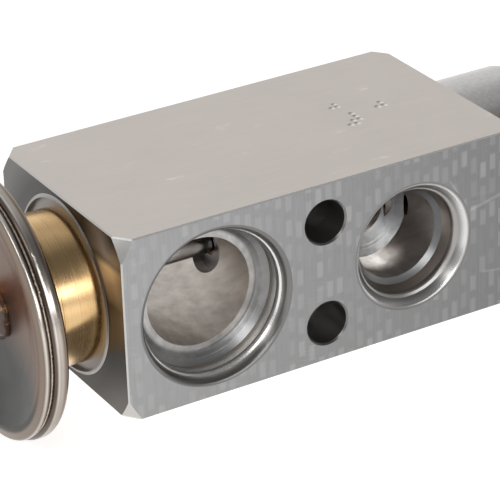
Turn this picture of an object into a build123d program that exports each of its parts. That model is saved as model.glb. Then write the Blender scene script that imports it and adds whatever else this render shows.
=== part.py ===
from build123d import *
import math
import os

# Thermostatic expansion valve of the block type, in millimetres, lying on its long flat side.
# +X runs along the valve axis from the power head to the adjusting screw, +Y goes into the
# block from the front port face, +Z is up. The origin is on the front face, midway between
# the two mounting holes.

# Valve block; each distance is along X from the mounting holes
BLOCK_LENGTH = 65.2
BLOCK_WIDTH = 35.8
BLOCK_HEIGHT = 28.0
HEAD_END_DISTANCE = 32.4
END_FACE_R = 20.7
BLOCK_EDGE_BREAK = 0.2
BOSS_R = 13.7
BOSS_CHAMFER = 1.0
MOUNT_HOLE_R = 3.25
MOUNT_HOLE_SPACING = 16.0
MOUTH_CHAMFER = 0.25

# Suction passage, which crosses the whole block beside the power head
SUCTION_DISTANCE = 17.8
SUCTION_SEAT_R = 10.85
SUCTION_BORE_R = 8.25
SUCTION_SEAT_DEPTH = 4.05
SUCTION_LIP_WIDTH = 0.85
PORT_LIP_DEPTH = 1.85
PORT_LIP_ROUND = 0.8
LIP_EDGE_WIDTH = 0.55
LIP_EDGE_DEPTH = 0.08
LIP_EDGE_ROUND = 0.9
SUCTION_CONE_R = 9.4
SUCTION_LEDGE_DEPTH = 5.4

# Liquid outlet on the front face
OUTLET_DISTANCE = 14.75
OUTLET_LIP_WIDTH = 1.4
OUTLET_SEAT_R = 8.1
OUTLET_SEAT_DEPTH = 3.85
OUTLET_LEDGE_R = 7.5
OUTLET_LEDGE_DEPTH = 4.5
OUTLET_BORE_R = 6.7
OUTLET_HOLE_R = 3.7

# Liquid inlet on the rear face
INLET_LIP_WIDTH = 0.8
INLET_SEAT_R = 6.6
INLET_SEAT_DEPTH = 3.4
INLET_BORE_R = 5.2
INLET_HOLE_R = 2.3
DRILL_POINT_ANGLE = 118.0

# Passages on the valve axis
SPOT_FACE_MARGIN = 1.53
SPOT_FACE_DEPTH = 0.45
SPOT_RIDGE_WIDTH = 0.5
SPOT_RIDGE_HEIGHT = 0.22
THREAD_CLEARANCE = 0.05
NECK_SEAL_RECESS_WIDTH = 1.3
THREAD_WALL = 0.95
HEAD_OPENING_R = 6.5
GUIDE_RECESS_R = 4.2
GUIDE_RECESS_DEPTH = 2.75
ROD_SEAL_BORE_R = 3.6
ROD_SEAL_LENGTH = 2.4
CHAMBER_R = 6.4
PASSAGE_WALL = 1.0
PASSAGE_MARGIN = 0.2
OUTLET_PASSAGE_R = 3.5
NECK_SEAT_WIDTH = 0.5
SPIGOT_END_GAP = 0.2

# Power head
NECK_R = 11.2
NECK_LENGTH = 8.05
NECK_SHOULDER = 2.1
NECK_CAVITY_WALL = 3.2
NECK_CAVITY_DEPTH = 2.6
NECK_ROD_BORE_R = 3.0
NECK_LINE_DEPTH = 0.1
NECK_LINE_WIDTH = 0.3
NECK_LINE_DISTANCE = 6.05
LOWER_COVER_R = 19.6
LOWER_COVER_THICKNESS = 0.9
COVER_BEND_R = 14.5
COVER_BEND_ROUND = 3.0
RIM_SLOPE = 1.85
RIM_ROUND = 1.2
RIM_GROOVE_ROUND = 0.8
RIM_DEPTH = 4.0
CLAMP_LAND = 2.1
DIAPHRAGM_THICKNESS = 0.25
DIAPHRAGM_DISH = 2.25
RIM_STEP = 0.4
UPPER_COVER_THICKNESS = 1.0
UPPER_COVER_CROWN = 0.3
DISH_FLAT_R = 6.0
SHEET_EDGE_INSET = 0.85
WELD_INSET = 0.35
TUBE_R = 3.0
TUBE_BORE_R = 1.9
TUBE_LENGTH = 8.2
PINCH_LENGTH = 4.0
PINCH_THICKNESS = 2.0
PINCH_WIDTH = 8.0
PINCH_SEAL_LENGTH = 1.2
BRAZE_R = 4.25
BRAZE_DROP = 0.9
BRAZE_LENGTH = 1.6

# Valve train
PAD_CLEARANCE = 0.8
PAD_THICKNESS = 3.0
PAD_SOCKET_DEPTH = 2.2
ROD_R = 1.5
ROD_TIP_R = 1.1
ROD_TIP_LENGTH = 2.65
BALL_R = 3.175
ORIFICE_R = 2.3
SEAT_R = 4.6
SEAT_LENGTH = 2.6
CARRIER_R = 5.6
CARRIER_LENGTH = 2.9
CARRIER_SPIGOT_R = 3.4
CARRIER_SPIGOT_LENGTH = 3.0
DAMPER_THICKNESS = 0.25
DAMPER_FINGER_WIDTH = 4.0
DAMPER_FINGER_COUNT = 4
SPRING_MEAN_R = 4.5
SPRING_WIRE_R = 0.65
SPRING_LENGTH = 8.15
SPRING_TURNS = 4.5

# Bush, washer, adjusting screw and seals
BUSH_LENGTH = 1.6
WASHER_THICKNESS = 0.6
SCREW_LENGTH = 8.5
EDGE_CHAMFER = 0.4
SCREW_CUP_R = 5.4
SCREW_CUP_DEPTH = 1.0
SCREW_RECESS = 1.5
SCREW_GROOVE_WIDTH = 2.0
SCREW_GROOVE_DEPTH = 1.35
SCREW_COLLAR = 3.1
HEX_ACROSS_FLATS = 5.0
HEX_DEPTH = 3.5

# Clearances, and how far a cutter or a joined piece runs past its face
OVERRUN = 1.0
SEATED = 0.02
RUNNING_FIT = 0.06
BALL_CLEARANCE = 0.04
DIAPHRAGM_CLEARANCE = 0.15
COVER_CLEARANCE = 0.2
WASHER_CLEARANCE = 0.4
DAMPER_CLEARANCE = 0.15

# Places along the valve axis, worked out from the sizes above
AXIS_Y = BLOCK_WIDTH / 2
HEAD_END = -HEAD_END_DISTANCE
FAR_END = HEAD_END + BLOCK_LENGTH
SUCTION_X = -SUCTION_DISTANCE
OUTLET_X = OUTLET_DISTANCE
SPOT_FACE_X = HEAD_END + SPOT_FACE_DEPTH
THREAD_END = SUCTION_X - SUCTION_BORE_R - THREAD_WALL
GUIDE_FLOOR = SUCTION_X + SUCTION_BORE_R + GUIDE_RECESS_DEPTH
ROD_SEAL_END = GUIDE_FLOOR + ROD_SEAL_LENGTH
OUTLET_PASSAGE_START = OUTLET_X - OUTLET_HOLE_R - PASSAGE_MARGIN
SEAT_START = OUTLET_X + OUTLET_HOLE_R + PASSAGE_MARGIN
SEAT_FACE = SEAT_START + SEAT_LENGTH
INLET_X = SEAT_FACE + INLET_HOLE_R + PASSAGE_MARGIN
BALL_X = SEAT_FACE + math.sqrt((BALL_R + BALL_CLEARANCE) ** 2 - ORIFICE_R**2)
CARRIER_FACE = BALL_X + BALL_R * 0.55
CARRIER_BASE = CARRIER_FACE + CARRIER_LENGTH
SPRING_START = CARRIER_BASE + DAMPER_THICKNESS + SEATED
SPRING_END = SPRING_START + SPRING_LENGTH
SCREW_START = SPRING_END + SEATED - SCREW_CUP_DEPTH
SCREW_END = SCREW_START + SCREW_LENGTH
BOSS_END = SCREW_END + SCREW_RECESS

# Radii and places in the power head, worked out from the neck and the rim
NECK_THREAD_R = NECK_R - NECK_SHOULDER
NECK_CAVITY_R = NECK_R - NECK_CAVITY_WALL
PAD_R = NECK_CAVITY_R - PAD_CLEARANCE
UPPER_COVER_R = LOWER_COVER_R - RIM_STEP
CLAMP_R = LOWER_COVER_R - CLAMP_LAND
NECK_TOP = SPOT_FACE_X - NECK_LENGTH
CLAMP_X = NECK_TOP - RIM_DEPTH
DIAPHRAGM_RIM_X = CLAMP_X - DIAPHRAGM_THICKNESS
DIAPHRAGM_CENTRE_X = CLAMP_X + DIAPHRAGM_DISH
COVER_INNER_X = DIAPHRAGM_CENTRE_X - DIAPHRAGM_THICKNESS - COVER_CLEARANCE
COVER_CENTRE_X = COVER_INNER_X - UPPER_COVER_THICKNESS
PAD_TOP = DIAPHRAGM_CENTRE_X + DIAPHRAGM_CLEARANCE
PAD_BASE = PAD_TOP + PAD_THICKNESS
ROD_START = PAD_BASE - PAD_SOCKET_DEPTH + SEATED
ROD_END = BALL_X - BALL_R - SEATED


def section(points, rounds=()):
    """A flat outline through the points, with (point number, radius) corners rounded."""
    face = make_face(Polyline(*points, close=True))
    for index, radius in rounds:
        corner = face.vertices().sort_by_distance(Vector(*points[index]))[0]
        face = fillet(corner, radius)
    return face


def turned(points, rounds=()):
    """A solid turned about the valve axis from (x, radius) points."""
    return Pos(0, AXIS_Y, 0) * revolve(section(points, rounds), Axis.X)


def rod(x_start, x_end, radius):
    """A plain cylinder on the valve axis."""
    return turned([(x_start, 0), (x_start, radius), (x_end, radius), (x_end, 0)])


def across_axis(x, facing):
    """A plane square to the valve axis that faces along +X or -X."""
    return Plane((x, AXIS_Y, 0), x_dir=(0, 1, 0), z_dir=(facing, 0, 0))


def seal_ring(x, mean_r, wire_r):
    """A ring of round section about the valve axis."""
    return Pos(0, AXIS_Y, 0) * revolve(Pos(x, mean_r) * Circle(wire_r), Axis.X)


def port_cutter(x, steps, from_rear=False, rounds=()):
    """What a stepped cutter removes at x, from (radius, depth) steps below the face.
    The rounds are (step number, radius) corners."""
    above = [(0, -OVERRUN), (steps[0][0], -OVERRUN)]
    outline = [*above, *steps, (0, steps[-1][1])]
    corners = [(len(above) + step, radius) for step, radius in rounds]
    tool = revolve(section(outline, corners), Axis.Y)
    if from_rear:
        return Pos(x, BLOCK_WIDTH, 0) * Rot(0, 0, 180) * tool
    return Pos(x, 0, 0) * tool


def dish_line(rim_x, depth, flat_r):
    """Points of a dished sheet, from the clamp land to the edge of its flat middle."""
    fall = CLAMP_R - flat_r
    return [
        (rim_x, CLAMP_R),
        (rim_x + depth / 4, CLAMP_R - fall / 5),
        (rim_x + depth * 4 / 5, CLAMP_R - fall * 11 / 20),
        (rim_x + depth, flat_r),
    ]


def drill_point(large_r, small_r):
    """How far a drill point narrows a hole from one radius to another."""
    return (large_r - small_r) / math.tan(math.radians(DRILL_POINT_ANGLE / 2))


def flared_lip(seat_r, width):
    """A lip that flares from the seal seat to the face, where it rolls over."""
    return [
        (seat_r + width + LIP_EDGE_WIDTH, 0),
        (seat_r + width, LIP_EDGE_DEPTH),
        (seat_r, PORT_LIP_DEPTH),
    ]


def suction_mouth():
    """The lip, seal seat, cone and ledge cut at each end of the suction passage."""
    return [
        *flared_lip(SUCTION_SEAT_R, SUCTION_LIP_WIDTH),
        (SUCTION_SEAT_R, SUCTION_SEAT_DEPTH),
        (SUCTION_CONE_R, SUCTION_LEDGE_DEPTH),
        (SUCTION_BORE_R, SUCTION_LEDGE_DEPTH),
        (SUCTION_BORE_R, SUCTION_LEDGE_DEPTH + OVERRUN),
    ]


def outlet_port():
    """The liquid outlet from its lip down to the axial passage above the seat."""
    floor = AXIS_Y - SEAT_R - PASSAGE_WALL
    return [
        *flared_lip(OUTLET_SEAT_R, OUTLET_LIP_WIDTH),
        (OUTLET_LEDGE_R, OUTLET_SEAT_DEPTH),
        (OUTLET_BORE_R, OUTLET_LEDGE_DEPTH),
        (OUTLET_BORE_R, floor),
        (OUTLET_HOLE_R, floor + drill_point(OUTLET_BORE_R, OUTLET_HOLE_R)),
        (OUTLET_HOLE_R, AXIS_Y),
    ]


def inlet_port():
    """The liquid inlet from its lip down to the spring chamber."""
    floor = AXIS_Y - CHAMBER_R - PASSAGE_WALL - drill_point(INLET_BORE_R, INLET_HOLE_R)
    return [
        *flared_lip(INLET_SEAT_R, INLET_LIP_WIDTH),
        (INLET_SEAT_R, INLET_SEAT_DEPTH),
        (INLET_BORE_R, INLET_SEAT_DEPTH + INLET_SEAT_R - INLET_BORE_R),
        (INLET_BORE_R, floor),
        (INLET_HOLE_R, floor + drill_point(INLET_BORE_R, INLET_HOLE_R)),
        (INLET_HOLE_R, AXIS_Y - CHAMBER_R / 2),
    ]


def mounting_hole(z):
    """A through hole with a small chamfer at each mouth."""
    mouth = [(MOUNT_HOLE_R + MOUTH_CHAMFER, 0), (MOUNT_HOLE_R, MOUTH_CHAMFER)]
    steps = mouth + [(MOUNT_HOLE_R, AXIS_Y + OVERRUN)]
    front = port_cutter(0, steps)
    rear = port_cutter(0, steps, from_rear=True)
    return Pos(0, 0, z) * (front + rear)


# Milled block with both ends turned to a cone, and the turned boss
def valve_block():
    bar = Box(
        BLOCK_LENGTH,
        BLOCK_WIDTH,
        BLOCK_HEIGHT,
        align=(Align.MIN, Align.MIN, Align.CENTER),
    )
    bar = chamfer(bar.edges(), BLOCK_EDGE_BREAK)
    bar = Pos(HEAD_END, 0, 0) * bar
    corner_r = math.hypot(BLOCK_WIDTH, BLOCK_HEIGHT) / 2
    cone = max(corner_r - END_FACE_R, 0) + OVERRUN
    envelope = turned(
        [
            (HEAD_END, 0),
            (HEAD_END, END_FACE_R),
            (HEAD_END + cone, END_FACE_R + cone),
            (FAR_END - cone, END_FACE_R + cone),
            (FAR_END, END_FACE_R),
            (FAR_END, 0),
        ]
    )
    boss = turned(
        [
            (FAR_END - OVERRUN, 0),
            (FAR_END - OVERRUN, BOSS_R),
            (BOSS_END - BOSS_CHAMFER, BOSS_R),
            (BOSS_END, BOSS_R - BOSS_CHAMFER),
            (BOSS_END, 0),
        ]
    )
    block = (bar & envelope) + boss
    spot_face_r = NECK_R + SPOT_FACE_MARGIN
    block += turned(
        [
            (HEAD_END + OVERRUN / 2, spot_face_r),
            (HEAD_END - SPOT_RIDGE_HEIGHT, spot_face_r),
            (HEAD_END - SPOT_RIDGE_HEIGHT, spot_face_r + SPOT_RIDGE_WIDTH / 2),
            (HEAD_END, spot_face_r + SPOT_RIDGE_WIDTH),
            (HEAD_END + OVERRUN / 2, spot_face_r + SPOT_RIDGE_WIDTH),
        ]
    )
    thread_r = NECK_THREAD_R + THREAD_CLEARANCE
    recess_r = NECK_R - NECK_SEAT_WIDTH
    block -= turned(
        [
            (HEAD_END - OVERRUN, 0),
            (HEAD_END - OVERRUN, spot_face_r),
            (SPOT_FACE_X, spot_face_r),
            (SPOT_FACE_X, recess_r),
            (SPOT_FACE_X + NECK_SEAL_RECESS_WIDTH, recess_r),
            (SPOT_FACE_X + NECK_SEAL_RECESS_WIDTH, thread_r),
            (THREAD_END, thread_r),
            (THREAD_END, HEAD_OPENING_R),
            (SUCTION_X, HEAD_OPENING_R),
            (SUCTION_X, 0),
        ]
    )
    block -= turned(
        [
            (SUCTION_X, 0),
            (SUCTION_X, GUIDE_RECESS_R),
            (GUIDE_FLOOR, GUIDE_RECESS_R),
            (GUIDE_FLOOR, ROD_SEAL_BORE_R),
            (ROD_SEAL_END, ROD_SEAL_BORE_R),
            (ROD_SEAL_END, ROD_R + RUNNING_FIT),
            (OUTLET_PASSAGE_START, ROD_R + RUNNING_FIT),
            (OUTLET_PASSAGE_START, OUTLET_PASSAGE_R),
            (SEAT_START, OUTLET_PASSAGE_R),
            (SEAT_START, SEAT_R),
            (SEAT_FACE, SEAT_R),
            (SEAT_FACE, CHAMBER_R),
            (BOSS_END - BOSS_CHAMFER / 2, CHAMBER_R),
            (BOSS_END, CHAMBER_R + BOSS_CHAMFER / 2),
            (BOSS_END, 0),
        ]
    )
    lip = [(1, LIP_EDGE_ROUND), (2, PORT_LIP_ROUND)]
    block -= port_cutter(SUCTION_X, suction_mouth(), rounds=lip)
    block -= port_cutter(SUCTION_X, suction_mouth(), from_rear=True, rounds=lip)
    block -= port_cutter(SUCTION_X, [(SUCTION_BORE_R, 0), (SUCTION_BORE_R, BLOCK_WIDTH)])
    block -= port_cutter(OUTLET_X, outlet_port(), rounds=lip)
    block -= port_cutter(INLET_X, inlet_port(), from_rear=True, rounds=lip)
    for side in (-1, 1):
        block -= mounting_hole(side * MOUNT_HOLE_SPACING / 2)
    return block


# Turned brass neck, hollow at the top for the follower pad
def power_head_neck():
    shoulder = SPOT_FACE_X
    line = shoulder - NECK_LINE_DISTANCE
    spigot_end = THREAD_END - SPIGOT_END_GAP
    return turned(
        [
            (NECK_TOP, NECK_CAVITY_R),
            (NECK_TOP, NECK_R),
            (line - NECK_LINE_WIDTH, NECK_R),
            (line - NECK_LINE_WIDTH, NECK_R - NECK_LINE_DEPTH),
            (line, NECK_R - NECK_LINE_DEPTH),
            (line, NECK_R),
            (shoulder, NECK_R),
            (shoulder, NECK_THREAD_R),
            (spigot_end - EDGE_CHAMFER, NECK_THREAD_R),
            (spigot_end, NECK_THREAD_R - EDGE_CHAMFER),
            (spigot_end, NECK_ROD_BORE_R),
            (NECK_TOP + NECK_CAVITY_DEPTH, NECK_ROD_BORE_R),
            (NECK_TOP + NECK_CAVITY_DEPTH, NECK_CAVITY_R),
        ]
    )


# Pressed stainless cover on the neck, with the rounded rim
def head_lower_cover():
    floor = NECK_TOP - LOWER_COVER_THICKNESS
    return turned(
        [
            (NECK_TOP, NECK_CAVITY_R),
            (NECK_TOP, COVER_BEND_R),
            (NECK_TOP - RIM_SLOPE, LOWER_COVER_R),
            (CLAMP_X, LOWER_COVER_R),
            (CLAMP_X, CLAMP_R),
            (floor, COVER_BEND_R),
            (floor, NECK_CAVITY_R),
        ],
        rounds=[
            (1, COVER_BEND_ROUND),
            (2, RIM_ROUND),
            (3, RIM_GROOVE_ROUND),
            (5, COVER_BEND_ROUND / 2),
        ],
    )


# Thin sheet between the covers, dished toward the follower pad
def diaphragm():
    outer_r = UPPER_COVER_R - SHEET_EDGE_INSET
    dish = dish_line(CLAMP_X, DIAPHRAGM_DISH, NECK_CAVITY_R)
    lower = [(CLAMP_X, outer_r), *dish, (DIAPHRAGM_CENTRE_X, 0)]
    upper = [(x - DIAPHRAGM_THICKNESS, r) for x, r in reversed(lower)]
    return turned(lower + upper)


# Pressed stainless cover on the outside, crowned at the rim and dished in the middle
def head_upper_cover():
    rim_r = UPPER_COVER_R
    crown_x = DIAPHRAGM_RIM_X - UPPER_COVER_THICKNESS
    inner = dish_line(DIAPHRAGM_RIM_X, COVER_INNER_X - DIAPHRAGM_RIM_X, DISH_FLAT_R)
    outer = [(x - UPPER_COVER_THICKNESS, r) for x, r in inner[1:]]
    return turned(
        [
            (DIAPHRAGM_RIM_X, rim_r),
            (crown_x, rim_r),
            (crown_x - UPPER_COVER_CROWN, CLAMP_R - UPPER_COVER_CROWN),
            *outer,
            (COVER_CENTRE_X, TUBE_R + SEATED),
            (COVER_INNER_X, TUBE_R + SEATED),
            *reversed(inner),
        ],
        rounds=[
            (0, UPPER_COVER_THICKNESS / 2.1),
            (1, UPPER_COVER_THICKNESS / 2.1),
            (2, UPPER_COVER_THICKNESS),
            (3, CLAMP_R / 4),
            (4, CLAMP_R / 3),
            (5, CLAMP_R / 3),
        ],
    )


# Weld bead that joins the covers in the groove between their rims
def head_rim_weld():
    inner_r = UPPER_COVER_R - SHEET_EDGE_INSET + SEATED
    outer_r = UPPER_COVER_R - WELD_INSET
    return turned(
        [
            (CLAMP_X, inner_r),
            (CLAMP_X, outer_r - DIAPHRAGM_THICKNESS / 2),
            (CLAMP_X - DIAPHRAGM_THICKNESS / 2, outer_r),
            (DIAPHRAGM_RIM_X, outer_r - DIAPHRAGM_THICKNESS / 2),
            (DIAPHRAGM_RIM_X, inner_r),
        ]
    )


# Copper charge tube, pinched flat beyond its round part
def charge_tube():
    start = COVER_INNER_X
    pinch_x = COVER_CENTRE_X - TUBE_LENGTH
    end_x = pinch_x - PINCH_LENGTH
    barrel = turned(
        [
            (start, TUBE_BORE_R),
            (start, TUBE_R),
            (pinch_x, TUBE_R),
            (pinch_x, TUBE_BORE_R),
        ]
    )
    round_end = across_axis(pinch_x, -1)
    flat_end = across_axis(end_x, -1)
    pinch = loft(
        [
            round_end * Circle(TUBE_R),
            flat_end * Ellipse(PINCH_WIDTH / 2, PINCH_THICKNESS / 2),
        ]
    )
    return barrel + pinch


# Solder that closes the pinched end
def tube_end_seal():
    end_x = COVER_CENTRE_X - TUBE_LENGTH - PINCH_LENGTH
    end = across_axis(end_x, -1) * Ellipse(PINCH_WIDTH / 2, PINCH_THICKNESS / 2)
    return extrude(end, PINCH_SEAL_LENGTH, taper=20)


# Braze round the root of the tube, heavier below it
def tube_braze_collar():
    bead = turned(
        [
            (COVER_CENTRE_X, 0),
            (COVER_CENTRE_X, BRAZE_R),
            (COVER_CENTRE_X - BRAZE_LENGTH, BRAZE_R - BRAZE_LENGTH / 5),
            (COVER_CENTRE_X - BRAZE_LENGTH, 0),
        ],
        rounds=[(2, BRAZE_LENGTH / 3)],
    )
    tube_r = TUBE_R + SEATED
    hole = rod(COVER_CENTRE_X + BRAZE_LENGTH, COVER_CENTRE_X - 2 * BRAZE_LENGTH, tube_r)
    return Pos(0, 0, -BRAZE_DROP) * bead - hole


# Disc under the diaphragm, with a socket for the rod
def follower_pad():
    socket_end = PAD_BASE - PAD_SOCKET_DEPTH
    socket_r = ROD_R + SEATED
    return turned(
        [
            (PAD_TOP, 0),
            (PAD_TOP, PAD_R - EDGE_CHAMFER),
            (PAD_TOP + EDGE_CHAMFER, PAD_R),
            (PAD_BASE - EDGE_CHAMFER, PAD_R),
            (PAD_BASE, PAD_R - EDGE_CHAMFER),
            (PAD_BASE, socket_r),
            (socket_end, socket_r),
            (socket_end, 0),
        ]
    )


# Rod from the follower pad to the ball
def push_rod():
    shoulder = ROD_END - ROD_TIP_LENGTH
    return turned(
        [
            (ROD_START, 0),
            (ROD_START, ROD_R),
            (shoulder, ROD_R),
            (shoulder + ROD_R - ROD_TIP_R, ROD_TIP_R),
            (ROD_END, ROD_TIP_R),
            (ROD_END, 0),
        ]
    )


# Bush that guides the rod, on the floor of its recess
def guide_bush():
    outer_r = GUIDE_RECESS_R - SEATED
    inner_r = ROD_R + RUNNING_FIT
    start = GUIDE_FLOOR - BUSH_LENGTH
    return turned(
        [
            (start, inner_r),
            (start, outer_r),
            (GUIDE_FLOOR, outer_r),
            (GUIDE_FLOOR, inner_r),
        ]
    )


# Washer that grips the recess and holds the bush
def lock_washer():
    outer_r = GUIDE_RECESS_R - SEATED
    inner_r = ROD_R + WASHER_CLEARANCE
    end = GUIDE_FLOOR - BUSH_LENGTH
    start = end - WASHER_THICKNESS
    return turned([(start, inner_r), (start, outer_r), (end, outer_r), (end, inner_r)])


# O-ring round the rod
def rod_seal():
    bore_r = ROD_R + RUNNING_FIT
    wire_r = (ROD_SEAL_BORE_R - bore_r) / 2 - SEATED
    mean_r = (ROD_SEAL_BORE_R + bore_r) / 2
    return seal_ring(GUIDE_FLOOR + ROD_SEAL_LENGTH / 2, mean_r, wire_r)


# O-ring under the shoulder of the neck
def neck_seal():
    recess_r = NECK_R - NECK_SEAT_WIDTH
    wire_r = (min(recess_r - NECK_THREAD_R, NECK_SEAL_RECESS_WIDTH)) / 2 - SEATED
    mean_r = NECK_THREAD_R + wire_r + SEATED
    return seal_ring(SPOT_FACE_X + NECK_SEAL_RECESS_WIDTH / 2, mean_r, wire_r)


# Hard seat pressed against its step, with the orifice
def seat_insert():
    return turned(
        [
            (SEAT_START, ORIFICE_R),
            (SEAT_START, SEAT_R - SEATED),
            (SEAT_FACE, SEAT_R - SEATED),
            (SEAT_FACE, ORIFICE_R),
        ]
    )


# Ball that closes the orifice
def valve_ball():
    return Pos(BALL_X, AXIS_Y, 0) * Rot(0, 90, 0) * Sphere(BALL_R)


# Cup that carries the ball on the spring
def ball_carrier():
    spigot_end = CARRIER_BASE + CARRIER_SPIGOT_LENGTH
    body = turned(
        [
            (CARRIER_FACE, 0),
            (CARRIER_FACE, CARRIER_R - EDGE_CHAMFER),
            (CARRIER_FACE + EDGE_CHAMFER, CARRIER_R),
            (CARRIER_BASE, CARRIER_R),
            (CARRIER_BASE, CARRIER_SPIGOT_R),
            (spigot_end - EDGE_CHAMFER, CARRIER_SPIGOT_R),
            (spigot_end, CARRIER_SPIGOT_R - EDGE_CHAMFER),
            (spigot_end, 0),
        ]
    )
    return body - Pos(BALL_X, AXIS_Y, 0) * Rot(0, 90, 0) * Sphere(BALL_R + SEATED)


# Thin sheet under the carrier, with fingers bent back along the bore
def damper_spring():
    outer_r = CHAMBER_R - DAMPER_CLEARANCE
    inner_r = outer_r - DAMPER_THICKNESS
    base = turned(
        [
            (CARRIER_BASE, CARRIER_SPIGOT_R + RUNNING_FIT),
            (CARRIER_BASE, outer_r),
            (CARRIER_BASE + DAMPER_THICKNESS, outer_r),
            (CARRIER_BASE + DAMPER_THICKNESS, CARRIER_SPIGOT_R + RUNNING_FIT),
        ]
    )
    sleeve = turned(
        [
            (CARRIER_FACE, inner_r),
            (CARRIER_FACE, outer_r),
            (CARRIER_BASE + DAMPER_THICKNESS, outer_r),
            (CARRIER_BASE + DAMPER_THICKNESS, inner_r),
        ]
    )
    slot = Box(4 * CHAMBER_R, DAMPER_FINGER_WIDTH, 4 * CHAMBER_R)
    spring = base
    for number in range(DAMPER_FINGER_COUNT):
        turn = Rot(360.0 * number / DAMPER_FINGER_COUNT, 0, 0)
        half = Pos(CARRIER_FACE, 0, 2 * CHAMBER_R) * slot
        spring += sleeve & (Pos(0, AXIS_Y, 0) * turn * half)
    return spring


# Coil spring that pushes the valve closed
def superheat_spring():
    pitch = (SPRING_LENGTH - 2 * SPRING_WIRE_R) / SPRING_TURNS
    path = Helix(
        pitch,
        SPRING_LENGTH - 2 * SPRING_WIRE_R,
        SPRING_MEAN_R,
        center=(SPRING_START + SPRING_WIRE_R, AXIS_Y, 0),
        direction=(1, 0, 0),
    )
    wire = Plane(origin=path @ 0, z_dir=path % 0) * Circle(SPRING_WIRE_R - SEATED)
    return sweep(wire, path=path, is_frenet=True)


# Screw that sets the spring, with a groove for its seal
def adjusting_screw():
    outer_r = CHAMBER_R - THREAD_CLEARANCE
    groove_r = CHAMBER_R - SCREW_GROOVE_DEPTH
    groove_end = SCREW_END - SCREW_COLLAR
    groove_start = groove_end - SCREW_GROOVE_WIDTH
    cup_floor = SCREW_START + SCREW_CUP_DEPTH
    body = turned(
        [
            (cup_floor, 0),
            (cup_floor, SCREW_CUP_R),
            (SCREW_START, SCREW_CUP_R),
            (SCREW_START, outer_r),
            (groove_start, outer_r),
            (groove_start, groove_r),
            (groove_end, groove_r),
            (groove_end, outer_r),
            (SCREW_END - EDGE_CHAMFER, outer_r),
            (SCREW_END, outer_r - EDGE_CHAMFER),
            (SCREW_END, 0),
        ]
    )
    hexagon = RegularPolygon(HEX_ACROSS_FLATS / math.sqrt(3), 6)
    socket = extrude(across_axis(SCREW_END, 1) * hexagon, -HEX_DEPTH)
    return body - socket


# O-ring in the groove of the screw
def adjuster_seal():
    wire_r = SCREW_GROOVE_DEPTH / 2 - SEATED
    mean_r = CHAMBER_R - SCREW_GROOVE_DEPTH / 2
    return seal_ring(SCREW_END - SCREW_COLLAR - SCREW_GROOVE_WIDTH / 2, mean_r, wire_r)


PIECES = {
    "valve_block": valve_block,
    "power_head_neck": power_head_neck,
    "head_lower_cover": head_lower_cover,
    "diaphragm": diaphragm,
    "head_upper_cover": head_upper_cover,
    "head_rim_weld": head_rim_weld,
    "charge_tube": charge_tube,
    "tube_end_seal": tube_end_seal,
    "tube_braze_collar": tube_braze_collar,
    "follower_pad": follower_pad,
    "push_rod": push_rod,
    "guide_bush": guide_bush,
    "lock_washer": lock_washer,
    "rod_seal": rod_seal,
    "neck_seal": neck_seal,
    "seat_insert": seat_insert,
    "valve_ball": valve_ball,
    "ball_carrier": ball_carrier,
    "damper_spring": damper_spring,
    "superheat_spring": superheat_spring,
    "adjusting_screw": adjusting_screw,
    "adjuster_seal": adjuster_seal,
}

os.makedirs("parts", exist_ok=True)
for name, make in PIECES.items():
    export_step(make(), "parts/" + name + ".step")
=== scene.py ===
import math

import bpy
import numpy as np
from mathutils import Matrix, Vector


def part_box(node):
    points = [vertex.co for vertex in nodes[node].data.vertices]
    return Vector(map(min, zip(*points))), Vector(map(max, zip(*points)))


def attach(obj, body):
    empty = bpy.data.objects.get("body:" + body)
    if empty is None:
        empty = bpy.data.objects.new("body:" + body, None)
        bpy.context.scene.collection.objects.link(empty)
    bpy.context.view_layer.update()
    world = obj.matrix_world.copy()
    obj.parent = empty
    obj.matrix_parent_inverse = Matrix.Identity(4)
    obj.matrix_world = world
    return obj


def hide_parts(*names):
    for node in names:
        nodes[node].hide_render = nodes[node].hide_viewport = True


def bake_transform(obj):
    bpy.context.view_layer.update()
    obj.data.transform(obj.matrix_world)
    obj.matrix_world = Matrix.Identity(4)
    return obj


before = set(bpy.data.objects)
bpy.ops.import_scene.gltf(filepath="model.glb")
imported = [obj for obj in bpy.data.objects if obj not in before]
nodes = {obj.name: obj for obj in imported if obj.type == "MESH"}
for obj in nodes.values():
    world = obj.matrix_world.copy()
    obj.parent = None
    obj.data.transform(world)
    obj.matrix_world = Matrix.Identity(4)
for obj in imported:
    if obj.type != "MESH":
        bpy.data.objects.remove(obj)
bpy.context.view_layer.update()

# Valve block
# A length of extruded aluminium bar, sawn, face-milled on the two port faces and turned at
# both ends. The wide faces keep the satin skin of the bar, and the ports are bored from the
# port faces with stepped cutters.

AXIS_Y = 17.9
BLOCK_HALF_HEIGHT = 14.0
BLOCK_WIDTH = 35.8
HEAD_END = -32.4
FAR_END = 32.8
SUCTION_X = -17.8
OUTLET_X = 14.75
INLET_X = 23.75
SUCTION_MOUTH_R = 12.27
SUCTION_SEAT_R = 10.85
SUCTION_LEDGE_R = 9.15
OUTLET_MOUTH_R = 10.07
INLET_MOUTH_R = 7.97
HOLE_MOUTH_R = 3.52
HOLE_Z = 8.0
SPOT_FACE_R = 12.73
RIDGE_R = 12.98
BOSS_R = 13.7
HEAD_BEVEL_END = -28.0
BETWEEN_PORTS_X = -3.0
DASH_PITCH = 1.64
DASH_HEIGHT = 3.8
FACE_FADE_START = -30.0
FACE_FADE_LENGTH = 62.0
FACE_RELIEF = 0.012

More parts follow.
